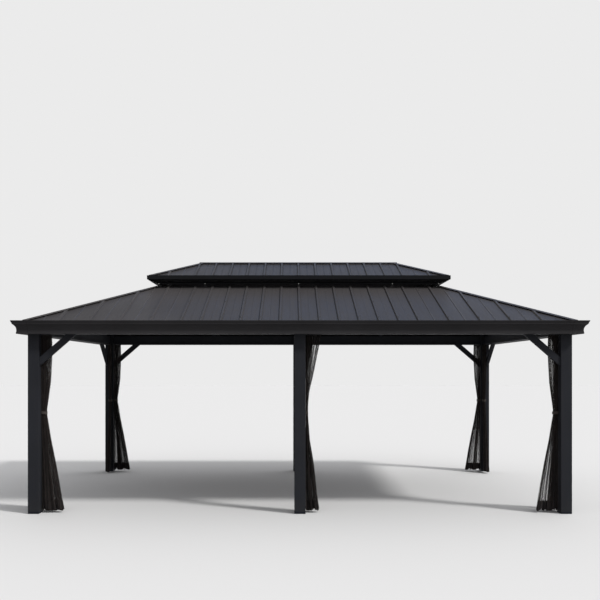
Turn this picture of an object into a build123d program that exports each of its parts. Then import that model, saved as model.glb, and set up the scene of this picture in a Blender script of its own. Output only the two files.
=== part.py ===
from build123d import *

import math
import os

# Metal gazebo with a two-tier hipped roof of ribbed sheet, in millimetres.
# The origin is on the ground under the middle of the roof. +X runs along the
# long side, the front is at -Y and +Z is up.

# Posts and feet
post_pitch_x = 2856.0
post_pitch_y = 3234.0
post_size = 120.0
post_wall = 2.0
post_radius = 4.0
foot_height = 24.0
foot_wall = 3.0
spigot_height = 80.0

# Beams and knee braces
beam_underside = 1925.0
beam_height = 130.0
beam_width = 70.0
beam_wall = 2.0
brace_drop = 339.0
brace_reach = 392.0
brace_depth = 69.0
brace_width = 40.0
brace_wall = 1.6

# Gutter that hangs on the outer faces of the posts and beams
gutter_sheet = 2.0
gutter_floor_width = 89.0
gutter_lip_reach = 137.0
gutter_height = 140.0
gutter_bead_height = 18.0
gutter_bead_proud = 3.0
gutter_cove_start = 40.0
gutter_cove_radius = 72.0
gutter_cove_angle = 60.0
gutter_lip_edge = 6.0
gutter_lip_return = 12.0
gutter_corner_leg = 167.0

# Ribbed sheet of both roofs
sheet = 1.2
rib_pitch = 212.0
rib_height = 14.0
rib_base = 36.0
rib_top = 20.0
ribs_per_panel = 2
centre_panels = 3
corner_rib_pitch = 330.0
plain_pan_limit = 250.0
swage_height = 4.0
swage_base = 18.0
hip_clearance = 3.0

# Lower roof
lower_pitch = 22.6
lower_eave_rise = 21.0
lower_eave_overhang = 45.0
opening_half_width = 508.0
rafter_width = 50.0
rafter_depth = 50.0
rafter_wall = 2.0

# Vent between the two roofs
ring_width = 60.0
ring_height = 50.0
ring_lap = 10.0
upright_size = 30.0
upright_height = 111.0
upright_pitch = 1155.0
eave_bar_setback = 6.0
eave_bar_height = 40.0
vent_wall = 1.6

# Upper roof
upper_pitch = 22.2
upper_eave_rise = 12.0
upper_eave_overhang = 93.0
upper_rafter_width = 30.0
upper_rafter_depth = 30.0
upper_rafter_wall = 1.6
ridge_beam_width = 40.0
ridge_beam_height = 50.0

# Coved fascia that hangs on the uprights and hides the ends of the upper panels
fascia_flange = 18.0
fascia_knee_reach = 66.0
fascia_knee_height = 34.0
fascia_cove_height = 51.0
fascia_lip_height = 47.0
fascia_lip_return = 10.0
fascia_clearance = 17.0
fascia_cover = 12.0

# Caps over the hips and the ridge
cap_wing = 45.0
ridge_cap_overrun = 45.0

# Insect netting gathered beside the posts, and the rails that it hangs from
rail_size = 20.0
rail_wall = 2.0
rail_slot = 6.0
curtain_thickness = 56.0
curtain_hem_thickness = 78.0
curtain_tie_thickness = 44.0
curtain_tie_height = 1080.0
curtain_tie_band = 60.0
curtain_ground_gap = 30.0
curtain_post_gap = 8.0
curtain_brace_gap = 3.0
corner_curtain_widths = (105.0, 55.0, 225.0)
middle_curtain_widths = (160.0, 44.0, 150.0)
curtain_corner_share = 0.3

# Clearance between pieces that seat on each other
seat = 0.3

# Frame lines
post_x = post_pitch_x
post_y = post_pitch_y / 2
face_x = post_x + post_size / 2
face_y = post_y + post_size / 2
hip_shift = face_x - face_y
beam_top = beam_underside + beam_height
beam_centre_x = face_x - beam_width / 2
beam_centre_y = face_y - beam_width / 2
long_bay = post_pitch_x - post_size
end_bay = post_pitch_y - post_size
outer_rafter_x = centre_panels * ribs_per_panel * rib_pitch

# Levels of the lower roof and of the vent, each roof height being its sheet's underside
lower_slope = math.tan(math.radians(lower_pitch))
lower_face_height = beam_top + lower_eave_rise
ring_outer = opening_half_width + ring_lap
ring_inner = ring_outer - ring_width
ring_top = lower_face_height + lower_slope * (face_y - ring_outer) - seat
eave_bar_outer = opening_half_width - eave_bar_setback
eave_bar_inner = eave_bar_outer - upright_size
eave_bar_bottom = ring_top + upright_height
eave_bar_top = eave_bar_bottom + eave_bar_height
upper_slope = math.tan(math.radians(upper_pitch))
upper_face_height = eave_bar_top + upper_eave_rise
ridge_height = upper_face_height + upper_slope * eave_bar_outer
upper_eave_height = upper_face_height - upper_slope * upper_eave_overhang
fascia_reach = upper_eave_overhang + fascia_clearance
fascia_bottom = upper_eave_height + fascia_cover - fascia_cove_height - fascia_lip_height

# A length past every edge of the gazebo, for cutting shapes
far = 2 * (face_x + gutter_lip_reach)


def block(x0, x1, y0, y1, z0, z1):
    """Axis-aligned box between two corners."""
    centre = ((x0 + x1) / 2, (y0 + y1) / 2, (z0 + z1) / 2)
    return Pos(*centre) * Box(abs(x1 - x0), abs(y1 - y0), abs(z1 - z0))


def tube_section(width, height, wall):
    return Rectangle(width, height) - Rectangle(width - 2 * wall, height - 2 * wall)


def run(section, start, direction, length):
    """A section with its local y axis upward, carried along a direction."""
    along = Vector(*direction).normalized()
    side = Vector(0, 0, 1).cross(along).normalized()
    return extrude(Plane(origin=start, x_dir=side, z_dir=along) * section, length)


def to_corners(piece):
    """A piece built in the +X, -Y quarter, and its three mirror images."""
    across = mirror(piece, Plane.YZ)
    return [piece, across, mirror(piece, Plane.XZ), mirror(across, Plane.XZ)]


def turned(pieces, angle):
    return [Rot(0, 0, angle) * piece for piece in pieces]


def thickened(points, thickness):
    """Face of a folded sheet, from the points along its lower side."""
    upper = []
    for index, point in enumerate(points):
        ends = points[max(index - 1, 0):index + 2]
        tangents = [(Vector(*b) - Vector(*a)).normalized() for a, b in zip(ends, ends[1:])]
        normals = [Vector(-t.Y, t.X) for t in tangents]
        total = normals[0] + normals[-1]
        shift = total * (2 * thickness / total.dot(total))
        upper.append((point[0] + shift.X, point[1] + shift.Y))
    return make_face(Polyline(*points, *upper[::-1], close=True))


def make_foot():
    """Shoe under a post: a plate with a collar, and a spigot inside the post."""
    spigot_size = post_size - 2 * post_wall - 2 * seat
    cavity_size = spigot_size - 2 * foot_wall
    height = foot_height + spigot_height
    collar = extrude(RectangleRounded(post_size, post_size, post_radius), foot_height)
    spigot = extrude(Rectangle(spigot_size, spigot_size), height)
    cavity = Pos(0, 0, foot_wall) * extrude(Rectangle(cavity_size, cavity_size), height)
    return collar + spigot - cavity


def make_post():
    inner = post_size - 2 * post_wall
    section = RectangleRounded(post_size, post_size, post_radius) - Rectangle(inner, inner)
    return Pos(0, 0, foot_height) * extrude(section, beam_top - foot_height)


def beam_section():
    return Pos(0, beam_height / 2) * tube_section(beam_width, beam_height, beam_wall)


def make_long_beam(side_x, side_y):
    """Beam between the middle post and a corner post."""
    start = (side_x * post_x / 2 - long_bay / 2, side_y * beam_centre_y, beam_underside)
    return run(beam_section(), start, (1, 0, 0), long_bay)


def make_end_beam(side_x):
    start = (side_x * beam_centre_x, -end_bay / 2, beam_underside)
    return run(beam_section(), start, (0, 1, 0), end_bay)


def make_brace():
    """Knee brace in the XZ plane, rising towards -X from a post face at x = 0."""
    angle = math.atan2(brace_drop, brace_reach)
    rising = Vector(-math.cos(angle), 0, math.sin(angle))
    start = Vector(0, 0, beam_underside - brace_drop) - rising * brace_depth
    length = math.hypot(brace_drop, brace_reach) + 2 * brace_depth
    section = Pos(0, brace_depth / 2) * tube_section(brace_width, brace_depth, brace_wall)
    bar = run(section, tuple(start), tuple(rising), length)
    return bar & block(-far, 0, -far, far, 0, beam_underside)


def corner_braces():
    """The two braces of the +X, -Y corner."""
    along = Pos(post_x - post_size / 2, -beam_centre_y, 0) * make_brace()
    across = Pos(beam_centre_x, -post_y + post_size / 2, 0) * Rot(0, 0, -90) * make_brace()
    return [along, across]


def gutter_section():
    """Section with x outward from the beam face and y up from the gutter floor."""
    radius = gutter_cove_radius
    angle = math.radians(gutter_cove_angle)
    floor = gutter_floor_width
    cove = [
        (floor + radius * (1 - math.cos(a)), gutter_cove_start + radius * math.sin(a))
        for a in (0, angle / 2, angle)
    ]
    below = Polyline(
        (0, 0),
        (floor + gutter_bead_proud, 0),
        (floor + gutter_bead_proud, gutter_bead_height),
        (floor, gutter_bead_height + gutter_bead_proud),
        cove[0],
    )
    above = Polyline(
        cove[2],
        (cove[2][0], cove[2][1] + gutter_lip_edge),
        (gutter_lip_reach, gutter_height - gutter_lip_edge),
        (gutter_lip_reach, gutter_height),
        (0, gutter_height),
        (0, 0),
    )
    outer = make_face(below.edges() + [ThreePointArc(*cove)] + above.edges())
    inner = offset(outer, -gutter_sheet, kind=Kind.INTERSECTION)
    mouth_width = gutter_lip_reach - gutter_lip_return - gutter_sheet
    mouth = Pos(gutter_sheet + mouth_width / 2, gutter_height) * Rectangle(mouth_width, 4 * gutter_sheet)
    wall_height = lower_face_height - lower_slope * gutter_sheet - seat - beam_underside
    wall = Pos(gutter_sheet / 2, wall_height / 2) * Rectangle(gutter_sheet, wall_height)
    return outer - inner - mouth + wall


def gutter_length_plane(start_x, face):
    """Plane across a gutter on the -Y side, facing -X, with the gutter's back on y = -face."""
    return Plane(origin=(start_x, -face, beam_underside), x_dir=(0, -1, 0), z_dir=(-1, 0, 0))


def gutter_run(half_length, face):
    return extrude(gutter_length_plane(half_length, face) * gutter_section(), 2 * half_length)


def gutter_corner():
    """Mitred corner of the gutter at +X, -Y."""
    joint_x = face_x + gutter_lip_reach - gutter_corner_leg
    reach = 2 * gutter_lip_reach
    leg = extrude(gutter_length_plane(face_x + reach, face_y) * gutter_section(), face_x + reach - joint_x)
    mitre = Polyline(
        (joint_x, -face_y),
        (face_x, -face_y),
        (face_x + reach, -face_y - reach),
        (joint_x, -face_y - reach),
        close=True,
    )
    leg = leg & extrude(make_face(mitre), far)
    return leg + mirror(leg, Plane(origin=(face_x, -face_y, 0), z_dir=(1, 1, 0)))


def common_rafter(x, outer, inner, height, slope, heel, size):
    """Rafter on the -Y side from y = -outer to y = -inner.

    Its top is at the given height over y = -outer, less the seat, and its
    lower end is cut level at the heel.
    """
    width, depth, wall = size
    section = Pos(0, -depth / 2) * tube_section(width, depth, wall)
    start = (x, -outer - depth, height - slope * depth - seat)
    length = (outer - inner + 2 * depth) * math.hypot(1, slope)
    bar = run(section, start, (0, 1, slope), length)
    return bar & block(x - width, x + width, -outer, -inner, heel, far)


def hip_rafter(outer, inner, shift, height, slope, heel, size):
    """Rafter under the hip of the +X, -Y corner, lowered so that its edges meet the sheets."""
    width, depth, wall = size
    section = Pos(0, -depth / 2) * tube_section(width, depth, wall)
    drop = width / 2 * slope / math.sqrt(2) + seat
    start = (outer + shift + depth, -outer - depth, height - slope * depth - drop)
    length = (outer - inner + 2 * depth) * math.sqrt(2 + slope * slope)
    bar = run(section, start, (-1, 1, slope), length)
    return bar & block(inner + shift, outer + shift, -outer, -inner, heel, far)


def rib_points(centre, inset):
    """Underside of a rib, or of one that nests inside it by the inset."""
    lean = (rib_base - rib_top) / 2
    height = rib_height - inset
    foot = rib_base / 2 - inset * math.hypot(lean, rib_height) / rib_height
    shoulder = foot - lean * height / rib_height
    return [
        (centre - foot, 0),
        (centre - shoulder, height),
        (centre + shoulder, height),
        (centre + foot, 0),
    ]


def panel_face(pitch):
    """Section of a roof panel. Its first rib nests under the last rib of the panel beside it.

    A swage stiffens the sheet between ribs that are further apart than a plain pan allows.
    """
    nest = sheet + seat
    width = ribs_per_panel * pitch
    points = rib_points(0, nest)
    for rib in range(1, ribs_per_panel + 1):
        if pitch > plain_pan_limit:
            middle = (rib - 0.5) * pitch
            points += [(middle - swage_base / 2, 0), (middle, swage_height), (middle + swage_base / 2, 0)]
        points += rib_points(rib * pitch, 0)
    lean = (rib_base - rib_top) / 2
    points[-1] = (width + rib_base / 2 - lean * nest / rib_height, nest)
    return thickened(points, sheet)


def hip_prism(shift):
    """Upright prism between the two hips of a slope on the -Y side.

    The hips pass over x = +-(shift - y), less a clearance.
    """
    reach = shift - hip_clearance
    ridge = [(-reach, 0), (reach, 0)] if reach > 0 else [(0, reach)]
    plan = Polyline((-reach - far, -far), *ridge, (reach + far, -far), close=True)
    return extrude(make_face(plan), far)


def panel_joints(half_length, first, narrow_panels):
    """Places of the panel joints on a slope, the same on both sides of its middle.

    The ribs of a corner panel, past the narrow panels, are wider apart.
    """
    places = [first]
    while places[-1] < half_length:
        pitch = rib_pitch if len(places) <= narrow_panels else corner_rib_pitch
        places.append(places[-1] + ribs_per_panel * pitch)
    return sorted({-place for place in places} | set(places))


def ribbed_slope(face, outer, inner, shift, height, slope, first, narrow_panels):
    """Panels of a roof slope on the -Y side, trimmed along its hips.

    The underside is at the given height over y = -face, and the panels run
    from y = -outer to y = -inner.
    """
    angle = math.atan(slope)
    up_slope = (0, math.cos(angle), math.sin(angle))
    prism = hip_prism(shift)
    joints = panel_joints(outer + shift, first, narrow_panels)
    panels = []
    for near, past in zip(joints, joints[1:]):
        start = (past, -outer, height - slope * (outer - face))
        plane = Plane(origin=start, x_dir=(-1, 0, 0), z_dir=up_slope)
        section = panel_face((past - near) / ribs_per_panel)
        panel = extrude(plane * section, (outer - inner) / math.cos(angle))
        panels += (panel & prism).solids()
    return panels


def cap_lift(angle):
    """Height of a cap's fold over the line where the undersides of the two slopes meet."""
    return (sheet + rib_height + seat) / math.cos(angle)


def cap_wings(angle):
    """Folded strip that lies on the rib tops of two slopes which fall away at an angle."""
    lift = cap_lift(angle)
    wing_x = cap_wing * math.cos(angle)
    wing_y = lift - cap_wing * math.sin(angle)
    return thickened([(-wing_x, wing_y), (0, lift), (wing_x, wing_y)], sheet)


def cap_leg(angle):
    """Leg under the fold of a cap, which closes the joint between the two slopes."""
    height = cap_lift(angle) + sheet / 2
    return Pos(0, height / 2) * Rectangle(sheet, height)


def hip_cap(outer, inner, shift, height, slope):
    """Cap over the hip of the +X, -Y corner, cut to follow both eaves."""
    fall = math.atan(slope / math.sqrt(2 + slope * slope))
    length = (outer - inner) * math.sqrt(2 + slope * slope)
    section = cap_wings(fall) + cap_leg(fall)
    cap = run(section, (outer + shift, -outer, height), (-1, 1, slope), length)
    return cap & block(0, outer + shift, -outer, 0, 0, far)


def fascia_section():
    """Folded trim with x outward from the uprights and y up from its fixing flange."""
    lip_top = fascia_cove_height + fascia_lip_height
    return thickened(
        [
            (vent_wall, 0),
            (vent_wall, fascia_flange),
            (fascia_knee_reach, fascia_knee_height),
            (fascia_reach, fascia_cove_height),
            (fascia_reach, lip_top),
            (fascia_reach - fascia_lip_return, lip_top),
        ],
        vent_wall,
    )


def mitred_side(section, half_length, face, bottom):
    """A section with x outward, carried along y = -face and mitred at both corners."""
    reach = 2 * section.bounding_box().max.X
    start = half_length + reach
    plane = Plane(origin=(start, -face, bottom), x_dir=(0, -1, 0), z_dir=(-1, 0, 0))
    side = extrude(plane * section, 2 * start)
    plan = Polyline(
        (-half_length + seat / 2, -face),
        (half_length - seat / 2, -face),
        (start - seat / 2, -face - reach),
        (-start + seat / 2, -face - reach),
        close=True,
    )
    return side & extrude(make_face(plan), far)


def curtain_outline(height, width, thickness):
    """Corners of a curtain's level outline, which starts beside the post and has its corners cut off."""
    cut = thickness * curtain_corner_share
    near, past, half = curtain_post_gap, curtain_post_gap + width, thickness / 2
    side = [(past - cut, -half), (past, -half + cut), (past, half - cut), (past - cut, half)]
    mirrored = [(near + past - x, -y) for x, y in side]
    return [(x, y, height) for x, y in side + mirrored]


def curtain(widths):
    """Gathered netting that hangs beside a post face at x = 0, on its +X side."""
    top, tie, hem = widths
    half_band = curtain_tie_band / 2
    outlines = [
        curtain_outline(curtain_ground_gap, hem, curtain_hem_thickness),
        curtain_outline(curtain_tie_height - half_band, tie, curtain_tie_thickness),
        curtain_outline(curtain_tie_height + half_band, tie, curtain_tie_thickness),
        curtain_outline(beam_underside - seat, top, curtain_thickness),
    ]
    polygons = [outlines[0], outlines[-1]]
    for lower, upper in zip(outlines, outlines[1:]):
        for index in range(len(lower)):
            polygons.append([lower[index - 1], lower[index], upper[index], upper[index - 1]])
    return Solid(Shell([Face(Wire.make_polygon(corners)) for corners in polygons]))


def rail_section():
    tube = tube_section(rail_size, rail_size, rail_wall)
    slot = Pos(0, -rail_size / 2) * Rectangle(rail_slot, 2 * rail_wall)
    return Pos(0, rail_size / 2) * (tube - slot)


def make_rails():
    """Curtain rails on the inner faces of the beams, one for each bay."""
    rail_x = face_x - beam_width - rail_size / 2
    rail_y = face_y - beam_width - rail_size / 2
    rails = []
    for side in (-1, 1):
        for half in (-1, 1):
            start = (half * post_x / 2 - long_bay / 2, side * rail_y, beam_underside)
            rails.append(run(rail_section(), start, (1, 0, 0), long_bay))
        rails.append(run(rail_section(), (side * rail_x, -end_bay / 2, beam_underside), (0, 1, 0), end_bay))
    return rails


def save(name, pieces):
    shape = pieces[0] if len(pieces) == 1 else Compound(children=list(pieces))
    export_step(shape, f"parts/{name}.step")


def build_posts():
    foot = make_foot()
    post = make_post()
    feet = []
    for row, side_y in (("front", -1), ("back", 1)):
        for place, x in (("left", -post_x), ("middle", 0), ("right", post_x)):
            at = Pos(x, side_y * post_y, 0)
            feet.append(at * foot)
            save(f"post_{row}_{place}", [at * post])
    save("post_feet", feet)


def build_beams():
    for row, side_y in (("front", -1), ("back", 1)):
        for half, side_x in (("left", -1), ("right", 1)):
            save(f"beam_{row}_{half}", [make_long_beam(side_x, side_y)])
    save("beam_left", [make_end_beam(-1)])
    save("beam_right", [make_end_beam(1)])
    save("knee_braces", [copy for brace in corner_braces() for copy in to_corners(brace)])


def build_gutter():
    straight = gutter_lip_reach - gutter_corner_leg
    front = [gutter_run(face_x + straight, face_y)]
    right = [gutter_run(face_y + straight, face_x)]
    save("gutter_front", front)
    save("gutter_back", turned(front, 180))
    save("gutter_right", turned(right, 90))
    save("gutter_left", turned(right, -90))
    save("gutter_corners", to_corners(gutter_corner()))


def build_lower_roof():
    size = (rafter_width, rafter_depth, rafter_wall)
    frame = (lower_face_height, lower_slope, beam_top, size)
    front = [
        common_rafter(x, face_y, ring_outer, *frame) for x in (-outer_rafter_x, 0, outer_rafter_x)
    ]
    right = [common_rafter(0, face_x, ring_outer + hip_shift, *frame)]
    save("rafters", front + turned(front, 180) + turned(right, 90) + turned(right, -90))
    save("hip_rafters", to_corners(hip_rafter(face_y, ring_outer, hip_shift, *frame)))

    eave_y = face_y + lower_eave_overhang
    eave_x = face_x + lower_eave_overhang
    opening_x = opening_half_width + hip_shift
    roof = (lower_face_height, lower_slope)
    front = ribbed_slope(face_y, eave_y, opening_half_width, hip_shift, *roof, 0, centre_panels)
    right = ribbed_slope(face_x, eave_x, opening_x, -hip_shift, *roof, rib_pitch, math.inf)
    save("roof_front", front)
    save("roof_back", turned(front, 180))
    save("roof_right", turned(right, 90))
    save("roof_left", turned(right, -90))
    eave_height = lower_face_height - lower_slope * lower_eave_overhang
    save("hip_caps", to_corners(hip_cap(eave_y, opening_half_width, hip_shift, eave_height, lower_slope)))


def frame_bars(outer, inner, bottom, height, wall):
    """Two long bars and the two end bars between them, round a rectangle."""
    width = outer - inner
    centre = (outer + inner) / 2
    section = Pos(0, height / 2) * tube_section(width, height, wall)
    long_half = outer + hip_shift
    long_bars = [
        run(section, (-long_half, side * centre, bottom), (1, 0, 0), 2 * long_half) for side in (-1, 1)
    ]
    end_bars = [
        run(section, (side * (centre + hip_shift), -inner, bottom), (0, 1, 0), 2 * inner)
        for side in (-1, 1)
    ]
    return long_bars, end_bars


def build_vent():
    long_bars, end_bars = frame_bars(ring_outer, ring_inner, ring_top - ring_height, ring_height, rafter_wall)
    save("vent_ring_long_bars", long_bars)
    save("vent_ring_end_bars", end_bars)
    centre = (eave_bar_outer + eave_bar_inner) / 2
    section = tube_section(upright_size, upright_size, vent_wall)
    upright = Pos(0, 0, ring_top) * extrude(section, upright_height)
    spots = [-centre - hip_shift, -upright_pitch, 0, upright_pitch, centre + hip_shift]
    save("vent_uprights", [Pos(x, y, 0) * upright for y in (-centre, centre) for x in spots])
    long_bars, end_bars = frame_bars(
        eave_bar_outer, eave_bar_inner, eave_bar_bottom, eave_bar_height, vent_wall
    )
    save("vent_eave_long_bars", long_bars)
    save("vent_eave_end_bars", end_bars)
    front = [mitred_side(fascia_section(), eave_bar_outer + hip_shift, eave_bar_outer, fascia_bottom)]
    right = [mitred_side(fascia_section(), eave_bar_outer, eave_bar_outer + hip_shift, fascia_bottom)]
    save("vent_fascia_long_sides", front + turned(front, 180))
    save("vent_fascia_end_sides", turned(right, 90) + turned(right, -90))


def build_upper_roof():
    size = (upper_rafter_width, upper_rafter_depth, upper_rafter_wall)
    frame = (upper_face_height, upper_slope, eave_bar_top, size)
    half_beam = ridge_beam_width / 2
    front = [
        common_rafter(x, eave_bar_outer, half_beam, *frame) for x in (-upright_pitch, 0, upright_pitch)
    ]
    save("vent_rafters", front + turned(front, 180))
    save("vent_hip_rafters", to_corners(hip_rafter(eave_bar_outer, seat, hip_shift, *frame)))
    beam_top_height = upper_face_height + upper_slope * (eave_bar_outer - half_beam) - seat
    section = Pos(0, -ridge_beam_height / 2) * tube_section(ridge_beam_width, ridge_beam_height, vent_wall)
    save("ridge_beam", [run(section, (-hip_shift, 0, beam_top_height), (1, 0, 0), 2 * hip_shift)])

    eave = eave_bar_outer + upper_eave_overhang
    roof = (upper_face_height, upper_slope)
    front = ribbed_slope(eave_bar_outer, eave, hip_clearance, hip_shift, *roof, 0, centre_panels)
    end_face = eave_bar_outer + hip_shift
    right = ribbed_slope(end_face, eave + hip_shift, hip_shift, -hip_shift, *roof, rib_pitch, math.inf)
    save("vent_roof_front", front)
    save("vent_roof_back", turned(front, 180))
    save("vent_roof_right", turned(right, 90))
    save("vent_roof_left", turned(right, -90))

    half_cap = hip_shift + ridge_cap_overrun
    pitch = math.radians(upper_pitch)
    ridge_cap = run(cap_wings(pitch), (-half_cap, 0, ridge_height), (1, 0, 0), 2 * half_cap)
    ridge_cap += run(cap_leg(pitch), (-hip_shift, 0, ridge_height), (1, 0, 0), 2 * hip_shift)
    cap = hip_cap(eave, 0, hip_shift, upper_eave_height, upper_slope)
    cap_half_width = cap_wing * math.cos(pitch) + rib_height * math.sin(pitch)
    cap = cap & block(0, far, -far, -seat / 2, 0, far)
    cap = cap - block(0, half_cap + seat, -cap_half_width - seat, 0, 0, far)
    save("ridge_cap", [ridge_cap])
    save("vent_hip_caps", to_corners(cap))


def build_curtains():
    save("curtain_rails", make_rails())
    clear = brace_width / 2 + curtain_brace_gap + curtain_thickness / 2
    line_x = beam_centre_x - clear
    line_y = beam_centre_y - clear
    bundle = curtain(corner_curtain_widths)
    along = Pos(post_x - post_size / 2, -line_y, 0) * mirror(bundle, Plane.YZ)
    across = Pos(line_x, -post_y + post_size / 2, 0) * Rot(0, 0, 90) * bundle
    names = ("front_right", "front_left", "back_right", "back_left")
    for name, *pair in zip(names, to_corners(along), to_corners(across)):
        save(f"curtain_{name}", pair)
    middle = Pos(post_size / 2, 0, 0) * curtain(middle_curtain_widths)
    save("curtain_front_middle", [Pos(0, -line_y, 0) * middle])
    save("curtain_back_middle", [Pos(0, line_y, 0) * middle])


os.makedirs("parts", exist_ok=True)
build_posts()
build_beams()
build_gutter()
build_lower_roof()
build_vent()
build_upper_roof()
build_curtains()
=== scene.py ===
import math

import bpy
import numpy as np
from mathutils import Matrix, Vector


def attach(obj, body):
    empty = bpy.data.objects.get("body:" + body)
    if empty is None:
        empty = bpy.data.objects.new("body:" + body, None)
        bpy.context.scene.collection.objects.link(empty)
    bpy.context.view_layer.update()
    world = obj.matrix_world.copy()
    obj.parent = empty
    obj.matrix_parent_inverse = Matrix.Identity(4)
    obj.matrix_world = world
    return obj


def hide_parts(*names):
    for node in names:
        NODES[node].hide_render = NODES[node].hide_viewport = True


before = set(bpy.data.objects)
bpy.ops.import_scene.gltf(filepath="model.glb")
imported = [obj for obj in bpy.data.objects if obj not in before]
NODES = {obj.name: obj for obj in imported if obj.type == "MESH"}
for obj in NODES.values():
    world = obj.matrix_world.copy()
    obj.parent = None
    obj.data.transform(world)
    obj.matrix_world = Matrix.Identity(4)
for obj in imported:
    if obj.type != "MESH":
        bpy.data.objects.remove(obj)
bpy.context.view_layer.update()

# Dimensions of the solids, in metres
POST = 0.120
POST_X, POST_Y = 2.856, 1.617
FACE_Y = POST_Y + POST / 2
HIP_SHIFT = POST_X - POST_Y
BEAM_UNDERSIDE = 1.925
BEAM_LINE_X, BEAM_LINE_Y = 2.881, 1.642
BRACE_DROP, BRACE_REACH = 0.339, 0.392
# The gutter's joints, outward from the corner posts' middle lines, and half the width of their line
GUTTER_JOINT, JOINT_LINE = 0.030, 0.0012
RIB_PITCH, CORNER_RIB_PITCH = 0.212, 0.330
CENTRE_RIBS, CORNER_RIBS, END_RIBS = 6, 5, 8
RIB_STAND = 0.0152
LOWER_SLOPE = math.tan(math.radians(22.6))
LOWER_FACE_HEIGHT, LOWER_TOP_HEIGHT = 2.076, 2.577
# Eave and top of the lower roof's long slopes, from the roof's middle line
LOWER_EAVE, LOWER_TOP = 1.722, 0.508
HIP_MARGIN = 0.075
UPPER_FACE, UPPER_FACE_HEIGHT = 0.502, 2.7211
UPRIGHT_PITCH, UPRIGHT_END, UPRIGHT_LINE = 1.155, 1.726, 0.487
VENT_WALL = 0.0016
FLANGE_FACE, FLANGE_HEIGHT = UPPER_FACE + VENT_WALL, 2.6060

# Netting, which hangs from the rails inside the beams
LINE_X, LINE_Y = 2.830, 1.591
INNER_X, INNER_Y = POST_X - POST / 2, POST_Y - POST / 2
NET_TOP, NET_SHOULDER, RUFFLE_TOP, NET_BOTTOM, LOWEST_HEM = 1.921, 1.80, 0.16, 0.032, 0.020
TIE_HEIGHT, WAIST_HALF = 1.080, 0.05
NET_FLAT = (1.40, 1.89)
PLEATS, PLEAT_COLUMNS = 13, 12
POST_GAP = 0.002
HEM_BAND, HEADING_BAND, EDGE_TAPE = 0.128, 1.885, 0.021
GLIDER_PITCH, GLIDER_MARGIN = 0.022, 0.006
FIRST_SEED = 11

# Roofing sheet: colour, film of dust, and painted shade by distance from a crease or a rib
SHEET_COLOUR, SHEET_FILM = (0.0650, 0.0595, 0.0585), (0.090, 0.087, 0.083)
CREASE_WIDTH = 0.009
RIB_FOOT, RIB_SHADE_EDGE = (0.008, 0.011), (0.018, 0.023)
# Keeps the numbers of the panels left and right of the middle apart
SIDE_STEP = 20.5

# Camera, worked out from the photo's lines
CAMERA_LENS, CAMERA_SHIFT = 43.32, (0.0155, 0.1158)
CAMERA_PLACE = (-0.099, -9.410, 1.547)

# Light on the gazebo, from level to high and from left to right
LEVEL_LIGHT, HIGH_LIGHT, HIGH_FROM = (0.27, 0.27, 0.28), (0.76, 0.77, 0.80), 0.85
LEFT_SHARE, RIGHT_SHARE, SIDES = 0.60, 1.40, (-0.8, 0.8)
SUN_TOWARD, SUN_ENERGY, SUN_WIDTH = (0.64, -0.34, 0.69), 2.0, 8
# Seen and mirrored: the pale backdrop and, over it, dark trees at the left and sky at the right
BACKDROP, TREES, SKY = (0.832, 0.831, 0.831), (0.15, 0.15, 0.15), (0.14, 0.28, 0.58)
BACKDROP_EDGE, TREES_EDGE = (0.47, 0.60), (-0.26, -0.04)
FLOOR_LIT, FLOOR_SEEN, FLOOR_HALF = (0.27, 0.27, 0.27), (0.765, 0.757, 0.742), 60.0


class Shader:
    """A material or world node tree, with one call for each node."""

    def __init__(self, block):
        block.use_nodes = True
        self.tree = block.node_tree
        self.tree.nodes.clear()

    def node(self, kind, values=None, **settings):
        made = self.tree.nodes.new(kind)
        for key, value in settings.items():
            setattr(made, key, value)
        for socket, value in (values or {}).items():
            self.put(made.inputs[socket], value)
        return made

    def put(self, socket, value):
        if isinstance(value, bpy.types.NodeSocket):
            self.tree.links.new(value, socket)
        elif socket.type == "RGBA" and len(value) == 3:
            socket.default_value = (*value, 1.0)
        else:
            socket.default_value = value

    def math(self, operation, first, second=0.0, third=None):
        values = {0: first, 1: second}
        if third is not None:
            values[2] = third
        return self.node("ShaderNodeMath", values, operation=operation).outputs[0]

    def span(self, value, low, high, to_low, to_high, kind="SMOOTHSTEP"):
        """A value brought from one range to another, and kept in it."""
        values = {
            "Value": value, "From Min": low, "From Max": high, "To Min": to_low, "To Max": to_high}
        return self.node("ShaderNodeMapRange", values, interpolation_type=kind).outputs["Result"]

    def mix(self, share, first, second):
        made = self.node("ShaderNodeMix", data_type="RGBA")
        for index, value in ((0, share), (6, first), (7, second)):
            self.put(made.inputs[index], value)
        return made.outputs[2]

    def shaded(self, colour, factor):
        """A colour made lighter or darker by a factor."""
        grey = self.node("ShaderNodeCombineColor", {0: factor, 1: factor, 2: factor}).outputs[0]
        made = self.node("ShaderNodeMix", data_type="RGBA", blend_type="MULTIPLY")
        for index, value in ((0, 1.0), (6, colour), (7, grey)):
            self.put(made.inputs[index], value)
        return made.outputs[2]

    def noise(self, vector, scale, detail=2.0, roughness=0.5):
        values = {"Vector": vector, "Scale": scale, "Detail": detail, "Roughness": roughness}
        return self.node("ShaderNodeTexNoise", values).outputs["Fac"]

    def stretched(self, vector, scale):
        return self.node("ShaderNodeMapping", {"Vector": vector, "Scale": scale}).outputs[0]

    def bump(self, height, strength, distance, normal=None):
        values = {"Height": height, "Strength": strength, "Distance": distance}
        if normal is not None:
            values["Normal"] = normal
        return self.node("ShaderNodeBump", values).outputs[0]

    def place(self):
        """The place on the gazebo, and its three coordinates."""
        at = self.node("ShaderNodeTexCoord").outputs["Object"]
        axes = self.node("ShaderNodeSeparateXYZ", {0: at})
        return at, axes.outputs["X"], axes.outputs["Y"], axes.outputs["Z"]

    def finish(self, shader, target="ShaderNodeOutputMaterial"):
        self.node(target, {"Surface": shader})


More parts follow.
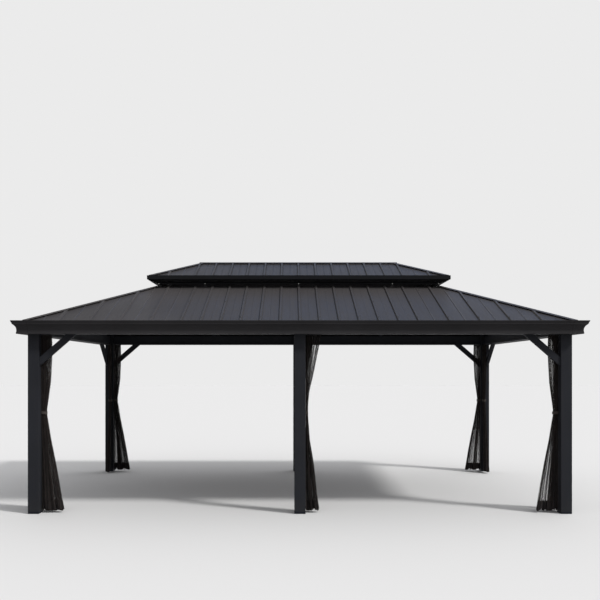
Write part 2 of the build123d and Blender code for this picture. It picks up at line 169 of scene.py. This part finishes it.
def painted_metal(
        name, colour, dust, roughness, streaks=(9.0, 9.0, 0.7), foot_dust_and_bounce=0.0, joints=False):
    """Powder-coated metal: faint clouding, rain streaks, orange peel and, low down, dust and
    painted bounce light.

    Streaks squeezes their noise along each axis. Joints draws the lines of the gutter's corners.
    """
    material = bpy.data.materials.new(name)
    s = Shader(material)
    at, x, y, z = s.place()
    cloud = s.noise(at, 1.7, 4.0, 0.55)
    streak = s.noise(s.stretched(at, streaks), 3.0, 3.0, 0.6)
    speck = s.noise(at, 320.0, 1.0)
    base = s.shaded(colour, s.span(cloud, 0.3, 0.7, 0.90, 1.10))
    film = s.span(streak, 0.45, 0.85, 0.0, 0.20)
    if foot_dust_and_bounce:
        # Lighter and warmer towards the foot: dust, and painted bounce light from the ground
        uneven = s.math("MULTIPLY_ADD", s.noise(at, 14.0, 4.0, 0.6), 0.10, z)
        film = s.math("MAXIMUM", film, s.span(uneven, 0.04, 0.30, foot_dust_and_bounce, 0.0))
    base = s.mix(film, base, dust)
    base = s.mix(s.span(speck, 0.62, 0.80, 0.0, 0.12), base, dust)
    if joints:
        base = s.mix(gutter_joint(s, x, y), base, tuple(0.25 * c for c in colour))
    rough = s.math("MULTIPLY_ADD", s.span(streak, 0.3, 0.8, -1.0, 1.0), 0.06, roughness)
    peel = s.bump(s.noise(at, 620.0, 2.0), 0.12, 0.0006)
    shader = s.node("ShaderNodeBsdfPrincipled", {
        "Base Color": base, "Roughness": rough, "Specular IOR Level": 0.12, "Normal": peel})
    s.finish(shader.outputs[0])
    return material


def gutter_joint(s, x, y):
    """Mask of the fine dark line where a corner of the gutter meets a straight length."""
    line = 0.0
    for axis, post in ((x, POST_X), (y, POST_Y)):
        off = s.math("ABSOLUTE", s.math("SUBTRACT", s.math("ABSOLUTE", axis), post + GUTTER_JOINT))
        line = s.math("MAXIMUM", line, s.math("LESS_THAN", off, JOINT_LINE))
    return line


def roof_sheet(name, is_long):
    """Coated roofing sheet. Each panel has its own faint tone, and dust runs down the slope."""
    material = bpy.data.materials.new(name)
    s = Shader(material)
    at, x, y, z = s.place()
    width = 2 * RIB_PITCH

    def by_tier(low, high):
        """A value from the lower roof's top to the upper roof's."""
        return s.span(z, LOWER_TOP_HEIGHT, UPPER_FACE_HEIGHT, low, high)

    if is_long:
        along, down = x, (7.0, 0.8, 0.8)
        away = s.math("ABSOLUTE", x)
        corner = s.math("SUBTRACT", away, CENTRE_RIBS * RIB_PITCH)
        counted = s.math("MINIMUM", s.math("DIVIDE", away, width),
                         s.math("MULTIPLY_ADD", corner, 0.5 / CORNER_RIB_PITCH, CENTRE_RIBS / 2))
        panel = s.math("MULTIPLY_ADD", s.math("SIGN", x), SIDE_STEP, s.math("FLOOR", counted))
        crease_share = s.math("LESS_THAN", corner, 0.0)
        rib_share = s.math("LESS_THAN", corner, 0.03)
    else:
        along, down = y, (0.8, 7.0, 0.8)
        panel = s.math("FLOOR", s.math("DIVIDE", s.math("SUBTRACT", y, RIB_PITCH), width))
        crease_share = rib_share = 1.0
    tone = s.node("ShaderNodeTexWhiteNoise", {"W": panel}, noise_dimensions="1D").outputs["Value"]
    cloud = s.noise(at, 0.9, 4.0, 0.55)
    streak = s.noise(s.stretched(at, down), 4.0, 4.0, 0.65)
    shade = s.math("ADD", s.span(tone, 0.0, 1.0, 0.96, 1.04, "LINEAR"),
                   s.span(cloud, 0.3, 0.7, -0.05, 0.05))
    # Painted light and shade: the lower roof lighter towards its top, the upper roof darker
    painted_light_by_height = s.math("ADD", s.span(z, LOWER_FACE_HEIGHT, LOWER_TOP_HEIGHT, -0.05, 0.08),
                       by_tier(0.0, -0.20))
    base = s.shaded(SHEET_COLOUR, s.math("ADD", shade, painted_light_by_height))
    base = s.mix(s.span(streak, 0.45, 0.85, 0.0, 0.22), base, SHEET_FILM)
    # Slack in the pans, and a faint crease along the middle of each narrow one
    slack = s.noise(s.stretched(at, tuple(0.7 * k for k in down)), 1.6, 1.0)
    from_crease = s.math("SUBTRACT", RIB_PITCH / 2, s.math("PINGPONG", along, RIB_PITCH / 2))
    crease = s.math("MULTIPLY", s.span(from_crease, 0.0, CREASE_WIDTH, 1.0, 0.0), crease_share)
    # Painted shade along the crease, darkest on the upper roof
    base = s.shaded(base, s.math("MULTIPLY_ADD", crease, by_tier(-0.10, -0.45), 1.0))
    # Painted shade along the sides of the ribs, darkest on the upper roof
    from_rib = s.math("PINGPONG", along, RIB_PITCH / 2)
    rib_side = s.math("MULTIPLY", s.span(from_rib, *RIB_FOOT, 0.0, 1.0),
                      s.span(from_rib, *RIB_SHADE_EDGE, 1.0, 0.0))
    painted_rib_shade = s.math("MULTIPLY", rib_side, rib_share)
    base = s.shaded(base, s.math("MULTIPLY_ADD", painted_rib_shade, by_tier(-0.15, -0.60), 1.0))
    normal = s.bump(slack, 0.35, 0.004)
    normal = s.bump(crease, 0.5, 0.0016, normal)
    normal = s.bump(s.noise(at, 700.0, 2.0), 0.10, 0.0005, normal)
    rough = s.math("MULTIPLY_ADD", s.span(streak, 0.3, 0.8, -1.0, 1.0), 0.06, 0.46)
    shader = s.node("ShaderNodeBsdfPrincipled", {
        "Base Color": base, "Roughness": rough, "Specular IOR Level": 0.17, "Normal": normal})
    s.finish(shader.outputs[0])
    return material


def woven(name, colour, cell, cover, bump, sheen):
    """Woven cloth on the piece's own map, in metres. Cover is the thread's share of a cell."""
    material = bpy.data.materials.new(name)
    s = Shader(material)
    cloth = s.node("ShaderNodeUVMap", uv_map="cloth").outputs[0]
    axes = s.node("ShaderNodeSeparateXYZ", {0: cloth})
    warp = s.math("PINGPONG", s.math("FRACT", s.math("DIVIDE", axes.outputs["X"], cell)), 0.5)
    weft = s.math("PINGPONG", s.math("FRACT", s.math("DIVIDE", axes.outputs["Y"], cell)), 0.5)
    at = s.place()[0]
    pale = tuple(min(1.0, 1.7 * c) for c in colour)
    base = s.mix(s.span(s.noise(at, 9.0, 3.0, 0.6), 0.35, 0.7, 0.0, 0.6), colour, pale)
    values = {
        "Base Color": base, "Roughness": 0.85, "Specular IOR Level": 0.2,
        "Sheen Weight": sheen, "Sheen Roughness": 0.5,
        "Normal": s.bump(s.math("ADD", warp, weft), bump, 0.0004),
    }
    if cover < 1.0:
        half = 0.5 * (1.0 - math.sqrt(1.0 - cover))
        values["Alpha"] = s.math("LESS_THAN", s.math("MINIMUM", warp, weft), half)
    s.finish(s.node("ShaderNodeBsdfPrincipled", values).outputs[0])
    return material


def small_part(name, colour, roughness, metallic):
    """Zinc, paint or plastic of the small fasteners, with a little grime."""
    material = bpy.data.materials.new(name)
    s = Shader(material)
    at = s.place()[0]
    grime = s.noise(at, 60.0, 4.0, 0.6)
    base = s.mix(s.span(grime, 0.4, 0.75, 0.0, 0.5), colour, tuple(0.45 * c for c in colour))
    rough = s.math("MULTIPLY_ADD", grime, 0.25, roughness - 0.1)
    grain = s.bump(s.noise(at, 900.0, 2.0), 0.2, 0.0003)
    shader = s.node("ShaderNodeBsdfPrincipled", {
        "Base Color": base, "Metallic": metallic, "Roughness": rough, "Normal": grain})
    s.finish(shader.outputs[0])
    return material


DUST = (0.060, 0.058, 0.056)
LEVEL_STREAKS = (1.0, 1.0, 7.0)
PAINT = painted_metal("frame_paint", (0.0250, 0.0262, 0.0310), DUST, 0.70, foot_dust_and_bounce=0.20)
GUTTER_PAINT = painted_metal(
    "gutter_paint", (0.0370, 0.0350, 0.0365), DUST, 0.72, LEVEL_STREAKS, joints=True)
# Painted shade: a darker copy of the same paint, for the upper fascia in the shade of the upper
# roof
VENT_SHADED_PAINT = painted_metal(
    "vent_painted_shade", (0.0103, 0.0106, 0.0120), (0.020, 0.019, 0.018), 0.70, LEVEL_STREAKS)
FOOT_PAINT = painted_metal("foot_paint", (0.0110, 0.0135, 0.0200), DUST, 0.50)
CAP_PAINT = painted_metal(
    "cap_paint", (0.0640, 0.0580, 0.0560), SHEET_FILM, 0.42, (2.0, 2.0, 2.0))
ROOF_LONG = roof_sheet("roof_sheet_long", True)
ROOF_END = roof_sheet("roof_sheet_end", False)
NET = woven("netting_mesh", (0.022, 0.017, 0.015), 0.0016, 0.55, 0.5, 0.1)
TAPE = woven("netting_tape", (0.015, 0.0115, 0.0105), 0.0011, 1.0, 0.8, 0.08)
STRAP = woven("netting_strap", (0.060, 0.050, 0.045), 0.0022, 1.0, 1.0, 0.2)
ZINC = small_part("zinc_bolt", (0.50, 0.50, 0.48), 0.4, 1.0)
SCREW_PAINT = small_part("painted_screw", (0.060, 0.056, 0.054), 0.4, 0.0)
PLASTIC = small_part("glider_plastic", (0.045, 0.042, 0.040), 0.5, 0.0)


def material_of(node):
    if node in ("roof_front", "roof_back", "vent_roof_front", "vent_roof_back"):
        return ROOF_LONG
    if node in ("roof_left", "roof_right", "vent_roof_left", "vent_roof_right"):
        return ROOF_END
    if node.endswith("caps") or node == "ridge_cap":
        return CAP_PAINT
    if node.startswith("vent_fascia"):
        return VENT_SHADED_PAINT
    # The other vent parts, under the upper eave, take the gutter's lighter paint instead of the
    # frame's: painted light in their shade
    if node.startswith(("gutter", "vent_")):
        return GUTTER_PAINT
    if node == "post_feet":
        return FOOT_PAINT
    return PAINT


for name, solid in NODES.items():
    if name == "curtain_rails" or not name.startswith("curtain_"):
        solid.data.materials.clear()
        solid.data.materials.append(material_of(name))


def piece(name, points, faces, materials, rounded=True, maps=None, indices=None):
    """A mesh piece that rides on the gazebo.

    Maps are the cloth coordinates of its vertices, and indices the materials of its faces.
    """
    mesh = bpy.data.meshes.new(name)
    vertices = [tuple(map(float, p)) for p in points]
    mesh.from_pydata(vertices, [], [tuple(map(int, f)) for f in faces])
    for material in materials:
        mesh.materials.append(material)
    mesh.polygons.foreach_set("use_smooth", [rounded] * len(mesh.polygons))
    if indices is not None:
        mesh.polygons.foreach_set("material_index", list(indices))
    if maps is not None:
        layer = mesh.uv_layers.new(name="cloth")
        corner = np.zeros(len(mesh.loops), dtype=np.int32)
        mesh.loops.foreach_get("vertex_index", corner)
        layer.data.foreach_set("uv", np.asarray(maps, np.float32)[corner].ravel())
    mesh.update()
    made = bpy.data.objects.new(name, mesh)
    bpy.context.scene.collection.objects.link(made)
    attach(made, "root")
    return made


def grid_faces(rows, columns, closed=False):
    """Faces of a grid of points, row by row. A closed one joins its last column to the first."""
    last = columns if closed else columns - 1
    return [
        (r * columns + c, r * columns + (c + 1) % columns,
         (r + 1) * columns + (c + 1) % columns, (r + 1) * columns + c)
        for r in range(rows - 1) for c in range(last)
    ]


class Kit:
    """Collects small parts into one mesh."""

    def __init__(self):
        self.points, self.faces = [], []

    def add(self, part, matrix):
        points, faces = part
        start = len(self.points)
        self.points += [matrix @ Vector(p) for p in points]
        self.faces += [tuple(i + start for i in f) for f in faces]

    def made(self, name, material, slot):
        return piece(name, self.points, self.faces, [material])


def lathe(profile, sides):
    """A profile of (radius, height) turned round z, with a flat cap on its last ring."""
    turns = [2 * math.pi * k / sides for k in range(sides)]
    points = [
        (radius * math.cos(turn), radius * math.sin(turn), height)
        for radius, height in profile for turn in turns
    ]
    faces = grid_faces(len(profile), sides, closed=True)
    faces.append(tuple(range(len(points) - sides, len(points))))
    return points, faces


def aimed(place, normal):
    """Matrix that puts a part's +z along a normal at a place."""
    return Matrix.Translation(place) @ Vector(normal).to_track_quat("Z", "Y").to_matrix().to_4x4()


WASHER = lathe([(0.0085, 0.0), (0.0085, 0.0010), (0.0070, 0.0018), (0.0046, 0.0018)], 16)
HEX_HEAD = lathe([(0.0046, 0.0010), (0.0046, 0.0052), (0.0038, 0.0062)], 6)
BOLT_HEAD = lathe([
    (0.0075, 0.0), (0.0075, 0.0016), (0.0064, 0.0036), (0.0040, 0.0046), (0.0020, 0.0049)], 16)


def smooth(x):
    """An even rise from 0 to 1, kept level outside."""
    x = np.clip(x, 0.0, 1.0)
    return x * x * (3 - 2 * x)


def gathered(u, base, bunches):
    """Places across a net of the points u along its cloth.

    Each bunch is (middle, spread, share of the cloth).
    """
    across = np.linspace(0.0, 1.0, 401)
    density = np.full_like(across, base)
    for middle, spread, share in bunches:
        peak = np.exp(-0.5 * ((across - middle) / spread) ** 2)
        density += share * peak / peak.mean()
    total = np.concatenate([[0.0], np.cumsum(0.5 * (density[1:] + density[:-1]))])
    return np.interp(u, total / total[-1], across)


def on_rail(origin, along, s, t, z):
    """A point of a net: s along its rail from the post's face, t to the side."""
    return origin[0] + along[0] * s - along[1] * t, origin[1] + along[1] * s + along[0] * t, z


def net_folds(shape, seed):
    """A gathered net before it is placed: the heights of its rows, and s, t and z of its points."""
    rng = np.random.default_rng(seed)

    def turn():
        return rng.uniform(0, 6.28)

    waist_top, waist_foot = TIE_HEIGHT + WAIST_HALF, TIE_HEIGHT - WAIST_HALF
    heights = np.concatenate([
        np.linspace(NET_TOP, NET_SHOULDER, 6)[:-1],
        np.linspace(NET_SHOULDER, waist_top, 22)[:-1],
        np.linspace(waist_top, waist_foot, 6)[:-1],
        np.linspace(waist_foot, RUFFLE_TOP, 26)[:-1],
        np.linspace(RUFFLE_TOP, NET_BOTTOM, 9),
    ])
    u = np.linspace(0.0, 1.0, PLEATS * PLEAT_COLUMNS + 1)[None, :]
    z = heights[:, None]
    # How far the cloth has opened out above and below the tie
    above = smooth((z - TIE_HEIGHT - 0.03) / 0.40)
    below = smooth((TIE_HEIGHT - 0.03 - z) / 0.50)
    reach = np.interp(z, *zip(*shape["reach"]))
    width = reach - POST_GAP
    place = u + above * (gathered(u, *shape["top"]) - u) + below * (gathered(u, *shape["hem"]) - u)
    # Each pleat is as deep as its length of cloth allows
    pleat = NET_FLAT[0] / PLEATS
    pitch = width * np.gradient(place, u[0], axis=1) / PLEATS
    deep = 0.25 * np.sqrt(np.maximum(pleat ** 2 - pitch ** 2, 0.1 * pleat ** 2))
    deep = deep * (0.75 + 0.18 * above + 0.45 * smooth((0.9 - z) / 0.8))
    wander = sum(
        rng.uniform(0.25, 0.7) * np.sin(2 * np.pi * k * u + turn()) for k in (1, 2, 3, 5))
    drift = 0.5 * np.sin(1.3 * z + 3.0 * u + turn()) + 0.25 * np.sin(4.1 * z + 9.0 * u)
    phase = 2 * np.pi * PLEATS * u + wander + drift
    swell = np.sin(2 * np.pi * PLEATS * 0.37 * u + turn() + 0.8 * z)
    uneven = 1.0 - 0.35 * (0.5 + 0.5 * swell)
    # Round tips, as soft cloth folds
    fine = 0.10 * np.sin(2.0 * phase + 1.1) + 0.15 * np.sin(3.0 * phase)
    t = deep * uneven * (np.sin(phase) + fine)
    edge = smooth(7.0 * np.minimum(u, 1.0 - u))
    t = t * (0.45 + 0.55 * edge)
    # Folds lie over to one side, some more than others
    lean = 0.60 + 0.35 * np.sin(2 * np.pi * 2.6 * u + 0.9 * z + turn())
    lean = lean + 0.15 * np.sin(2.3 * z + 7.0 * u)
    roll = 0.007 * np.sin(2.0 * phase + turn())
    s = width * place + edge * (lean * t + roll) * np.minimum(1.0, 0.4 + width / 0.12)
    # The ruffled hem is longer than the net that it is sewn to
    flare = smooth((0.17 - z) / 0.12)
    ruffle = 2 * np.pi * PLEATS * 2.3 * u + wander
    t = t + 0.006 * flare * np.sin(ruffle)
    s = s + 0.009 * flare * edge * np.cos(0.5 * ruffle + 1.0)
    s = POST_GAP + np.clip(s, 0.0, width + 0.008)
    fall = z + flare * 0.012 * (np.sin(0.5 * ruffle) + 0.6 * np.sin(0.23 * ruffle + 2.0))
    return heights, s, t, np.maximum(fall, LOWEST_HEM)


def netting(name, node, origin, along, shape, seed):
    """One net panel gathered beside a post. Along points from the post's face along the rail."""
    heights, s, t, fall = net_folds(shape, seed)
    x, y, fall = on_rail(origin, along, s, t, fall)
    points = np.stack([x, y, fall], axis=-1).reshape(-1, 3)
    # Cloth coordinates follow the folds across and the heights of the rows down
    steps = np.hypot(np.diff(x, axis=1), np.diff(y, axis=1)).mean(axis=0)
    run = np.concatenate([[0.0], np.cumsum(steps)])
    run = run / run[-1] * NET_FLAT[0]
    maps = np.stack(np.meshgrid(run, heights), axis=-1).reshape(-1, 2)
    middle = 0.5 * (heights[1:] + heights[:-1])[:, None]
    here = 0.5 * (run[1:] + run[:-1])[None, :]
    at_edge = (here < EDGE_TAPE) | (here > NET_FLAT[0] - EDGE_TAPE)
    taped = (middle < HEM_BAND) | (middle > HEADING_BAND) | at_edge
    cloth = piece(name, points, grid_faces(*x.shape), [NET, TAPE],
                  maps=maps, indices=taped.astype(int).ravel())
    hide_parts(node)
    waist, top = (float(np.interp(z, *zip(*shape["reach"]))) for z in (TIE_HEIGHT, NET_TOP))
    strap = tie_strap(name.replace("netting", "tie"), origin, along, waist)
    hooks = gliders(name.replace("netting", "gliders"), origin, along, top)


def tie_strap(name, origin, along, reach):
    """Webbing strap round the waist of a gathered net, with its tail on the post."""
    slack, half_depth, nearest = 0.005, 0.024, 0.0025
    half_width, centre = (reach - POST_GAP) / 2 + slack, (reach + POST_GAP) / 2
    # The power makes the ring squarer than an oval
    ring, power = 40, 0.62
    outline = []
    for k in range(ring):
        a = 2 * math.pi * k / ring
        flat = [math.copysign(abs(c) ** power, c) for c in (math.cos(a), math.sin(a))]
        outline.append((max(centre + half_width * flat[0], nearest), half_depth * flat[1]))
    thick, half_height = 0.0016, 0.015
    section = [
        (thick, -half_height), (1.25 * thick, 0.0), (thick, half_height),
        (0.0, half_height), (0.0, -half_height),
    ]
    points, maps, travel = [], [], 0.0
    for k, (s, t) in enumerate(outline):
        travel += math.dist(outline[k - 1], outline[k]) if k else 0.0
        sag = -0.004 * math.cos(2 * math.pi * k / ring)
        out = Vector((s - centre, 1.6 * t)).normalized()
        for push, rise in section:
            level = TIE_HEIGHT + sag + rise
            points.append(on_rail(origin, along, s + out.x * push, t + out.y * push, level))
            maps.append((travel, rise + push))
    count = len(section)
    faces = [
        (k * count + j, k * count + (j + 1) % count,
         (k + 1) % ring * count + (j + 1) % count, (k + 1) % ring * count + j)
        for k in range(ring) for j in range(count)
    ]
    # Tail, from inside the post's face to the ring
    start = len(points)
    for s, t in ((-0.0005, 0.010), (POST_GAP, 0.011), (POST_GAP + 0.008, 0.013)):
        for side, rise in ((0.0, -0.012), (0.0, 0.012), (0.002, 0.012), (0.002, -0.012)):
            points.append(on_rail(origin, along, s, t + side, TIE_HEIGHT + rise))
            maps.append((s, rise))
    for r in range(2):
        for j in range(4):
            a, b = start + 4 * r + j, start + 4 * r + (j + 1) % 4
            faces.append((a, b, b + 4, a + 4))
    faces += [tuple(start + j for j in (3, 2, 1, 0)), tuple(start + j for j in (8, 9, 10, 11))]
    return piece(name, points, faces, [STRAP], rounded=False, maps=maps)


def gliders(name, origin, along, reach):
    """Gliders in the rail's slot, with the small hooks that carry the heading tape."""
    kit = Kit()
    turn = Matrix.Rotation(math.atan2(along[1], along[0]), 4, "Z")
    count = max(4, round(reach / GLIDER_PITCH))
    stem = lathe([(0.0022, -0.012), (0.0022, -0.003), (0.0050, -0.002), (0.0050, 0.0)], 10)
    bends, sides, wire, turn_radius = 13, 6, 0.0011, 0.0045
    points = []
    for k in range(bends):
        a = math.pi * (0.5 + 1.5 * k / (bends - 1))
        for j in range(sides):
            b = 2 * math.pi * j / sides
            r = turn_radius + wire * math.cos(b)
            points.append((r * math.cos(a), wire * math.sin(b), -0.0145 + r * math.sin(a)))
    hook = points, grid_faces(bends, sides, closed=True)
    for k in range(count):
        s = POST_GAP + GLIDER_MARGIN + (reach - POST_GAP - 2 * GLIDER_MARGIN) * k / (count - 1)
        matrix = Matrix.Translation(on_rail(origin, along, s, 0.0, BEAM_UNDERSIDE - 0.0002)) @ turn
        kit.add(stem, matrix)
        kit.add(hook, matrix)
    return kit.made(name, PLASTIC, "netting")


# Reach of the free edge from the post by height, and how the cloth bunches at the top and the hem
CORNER_REACH = (
    (0.032, 0.236), (0.30, 0.192), (0.53, 0.150), (0.79, 0.098), (1.00, 0.064), (1.05, 0.055),
    (1.11, 0.054), (1.17, 0.062), (1.41, 0.094), (1.74, 0.111), (1.921, 0.106),
)
LONG_NET = {
    "reach": CORNER_REACH,
    "top": (0.70, ((0.26, 0.16, 0.30), (0.98, 0.03, 0.10))),
    "hem": (0.75, ((0.40, 0.08, 0.22), (0.94, 0.04, 0.15))),
}
END_NET = {
    "reach": CORNER_REACH,
    "top": (0.35, ((0.22, 0.14, 0.55), (0.98, 0.03, 0.10))),
    "hem": (0.15, ((0.70, 0.13, 0.62), (0.97, 0.03, 0.10))),
}
MIDDLE_NET = {
    "reach": (
        (0.032, 0.142), (0.10, 0.132), (0.51, 0.087), (0.78, 0.042), (1.00, 0.026), (1.05, 0.024),
        (1.18, 0.024), (1.31, 0.036), (1.50, 0.082), (1.75, 0.132), (1.921, 0.166),
    ),
    "top": (0.45, ((0.10, 0.08, 0.35), (0.42, 0.08, 0.08), (0.97, 0.03, 0.12))),
    "hem": (0.70, ((0.28, 0.10, 0.20), (0.94, 0.04, 0.15))),
}
seed = FIRST_SEED
for row, sy in (("front", -1), ("back", 1)):
    for side, sx in (("left", -1), ("right", 1)):
        node, pair = f"curtain_{row}_{side}", f"netting_{row}_{side}"
        netting(f"{pair}_long", node, (sx * INNER_X, sy * LINE_Y), (-sx, 0), LONG_NET, seed)
        netting(f"{pair}_end", node, (sx * LINE_X, sy * INNER_Y), (0, -sy), END_NET, seed + 1)
        seed += 2
    at = (POST / 2, sy * LINE_Y)
    netting(f"netting_{row}_middle", f"curtain_{row}_middle", at, (1, 0), MIDDLE_NET, seed)
    seed += 1


def roof_screws():
    """Screws on the ribs: near the eave and the top, and on the laps of the sheets also halfway."""
    screws = Kit()
    tilt = math.atan(LOWER_SLOPE)
    out, up = RIB_STAND * math.sin(tilt), RIB_STAND * math.cos(tilt)
    from_eave, from_top = 0.10, 0.08
    rows = [LOWER_EAVE - from_eave, 0.5 * (LOWER_EAVE + LOWER_TOP), LOWER_TOP + from_top]
    narrow = [k * RIB_PITCH for k in range(-CENTRE_RIBS, CENTRE_RIBS + 1)]
    wide = [CENTRE_RIBS * RIB_PITCH + k * CORNER_RIB_PITCH for k in range(1, CORNER_RIBS + 1)]
    long_ribs = [(x, k % 2 == 0) for k, x in enumerate(narrow)]
    long_ribs += [(sx * x, k % 2 == 1) for k, x in enumerate(wide) for sx in (-1, 1)]
    end_ribs = [(k * RIB_PITCH, k % 2 != 0) for k in range(-END_RIBS, END_RIBS + 1)]
    for ribs, shift in ((long_ribs, 0.0), (end_ribs, HIP_SHIFT)):
        for rib, is_lap in ribs:
            for level, depth in enumerate(rows):
                # Depth is the distance from the roof's middle line, as on the long slopes
                if abs(rib) > depth + HIP_SHIFT - shift - HIP_MARGIN or (level == 1 and not is_lap):
                    continue
                away = depth + shift + out
                height = LOWER_FACE_HEIGHT + (FACE_Y - depth) * LOWER_SLOPE + up
                for side in (-1, 1):
                    if shift:
                        place, normal = (side * away, rib, height), (side * LOWER_SLOPE, 0, 1)
                    else:
                        place, normal = (rib, side * away, height), (0, side * LOWER_SLOPE, 1)
                    matrix = aimed(place, normal)
                    screws.add(WASHER, matrix)
                    screws.add(HEX_HEAD, matrix)
    screws.made("roof_screws", SCREW_PAINT, "roof")


def brace_screws():
    """Two screws in the lower face of each knee brace."""
    screws = Kit()
    length = math.hypot(BRACE_DROP, BRACE_REACH)
    from_post, from_beam = 0.045, 0.050
    for share in (from_post / length, 1.0 - from_beam / length):
        inward, height = share * BRACE_REACH, BEAM_UNDERSIDE - (1.0 - share) * BRACE_DROP
        for sx in (-1, 1):
            for sy in (-1, 1):
                place = (sx * (INNER_X - inward), sy * BEAM_LINE_Y, height)
                screws.add(BOLT_HEAD, aimed(place, (-sx * BRACE_DROP, 0, -BRACE_REACH)))
                place = (sx * BEAM_LINE_X, sy * (INNER_Y - inward), height)
                screws.add(BOLT_HEAD, aimed(place, (0, -sy * BRACE_DROP, -BRACE_REACH)))
    screws.made("brace_screws", SCREW_PAINT, "frame")


def vent_bolts():
    """Bolts that hold the flange of the upper fascia to the uprights behind it."""
    bolts = Kit()
    for side in (-1, 1):
        for x in (-UPRIGHT_END, -UPRIGHT_PITCH, 0.0, UPRIGHT_PITCH, UPRIGHT_END):
            place = (x, side * FLANGE_FACE, FLANGE_HEIGHT)
            bolts.add(BOLT_HEAD, aimed(place, (0, side, 0)))
        for y in (-UPRIGHT_LINE, 0.0, UPRIGHT_LINE):
            place = (side * (FLANGE_FACE + HIP_SHIFT), y, FLANGE_HEIGHT)
            bolts.add(BOLT_HEAD, aimed(place, (side, 0, 0)))
    bolts.made("vent_bolts", ZINC, "frame")


roof_screws()
brace_screws()
vent_bolts()

camera_data = bpy.data.cameras.new("camera")
camera_data.sensor_width = 36.0
camera_data.lens = CAMERA_LENS
camera_data.shift_x, camera_data.shift_y = CAMERA_SHIFT
camera_data.clip_end = 500.0
camera = bpy.data.objects.new("camera", camera_data)
camera.location = CAMERA_PLACE
camera.rotation_euler = (math.radians(90), 0, 0)
bpy.context.scene.collection.objects.link(camera)
bpy.context.scene.camera = camera
bpy.context.scene.view_settings.view_transform = "Standard"


def seen_directly(s):
    """One for camera, glossy and transmission rays, and zero for rays that light the gazebo."""
    rays = s.node("ShaderNodeLightPath").outputs
    bright = s.math("MAXIMUM", rays["Is Glossy Ray"], rays["Is Transmission Ray"])
    return s.math("MAXIMUM", rays["Is Camera Ray"], bright)


world = bpy.data.worlds.new("studio")
bpy.context.scene.world = world
s = Shader(world)
toward = s.node("ShaderNodeSeparateXYZ", {0: s.node("ShaderNodeTexCoord").outputs["Generated"]})
across, up = toward.outputs["X"], toward.outputs["Z"]
soft = s.mix(s.span(up, 0.0, HIGH_FROM, 0.0, 1.0), LEVEL_LIGHT, HIGH_LIGHT)
soft = s.shaded(soft, s.span(across, *SIDES, LEFT_SHARE, RIGHT_SHARE))
overhead = s.mix(s.span(across, *TREES_EDGE, 0.0, 1.0), TREES, SKY)
back = s.mix(s.span(up, *BACKDROP_EDGE, 0.0, 1.0), BACKDROP, overhead)
light = s.node("ShaderNodeBackground", {"Color": soft, "Strength": 1.0}).outputs[0]
seen = s.node("ShaderNodeBackground", {"Color": back, "Strength": 1.0}).outputs[0]
both = s.node("ShaderNodeMixShader", {0: seen_directly(s), 1: light, 2: seen})
s.finish(both.outputs[0], "ShaderNodeOutputWorld")

floor_material = bpy.data.materials.new("studio_floor")
s = Shader(floor_material)
tone = s.mix(seen_directly(s), FLOOR_LIT, FLOOR_SEEN)
s.finish(s.node("ShaderNodeBsdfDiffuse", {"Color": tone}).outputs[0])

corners = [(sx * FLOOR_HALF, sy * FLOOR_HALF, 0) for sx, sy in ((-1, -1), (1, -1), (1, 1), (-1, 1))]
floor_mesh = bpy.data.meshes.new("floor")
floor_mesh.from_pydata(corners, [], [(0, 1, 2, 3)])
floor_mesh.materials.append(floor_material)
floor = bpy.data.objects.new("floor", floor_mesh)
floor.location.z = -0.001
bpy.context.scene.collection.objects.link(floor)

sun_data = bpy.data.lights.new("key", "SUN")
sun_data.energy = SUN_ENERGY
sun_data.angle = math.radians(SUN_WIDTH)
sun = bpy.data.objects.new("key", sun_data)
sun.rotation_euler = Vector(SUN_TOWARD).to_track_quat("Z", "Y").to_euler()
bpy.context.scene.collection.objects.link(sun)
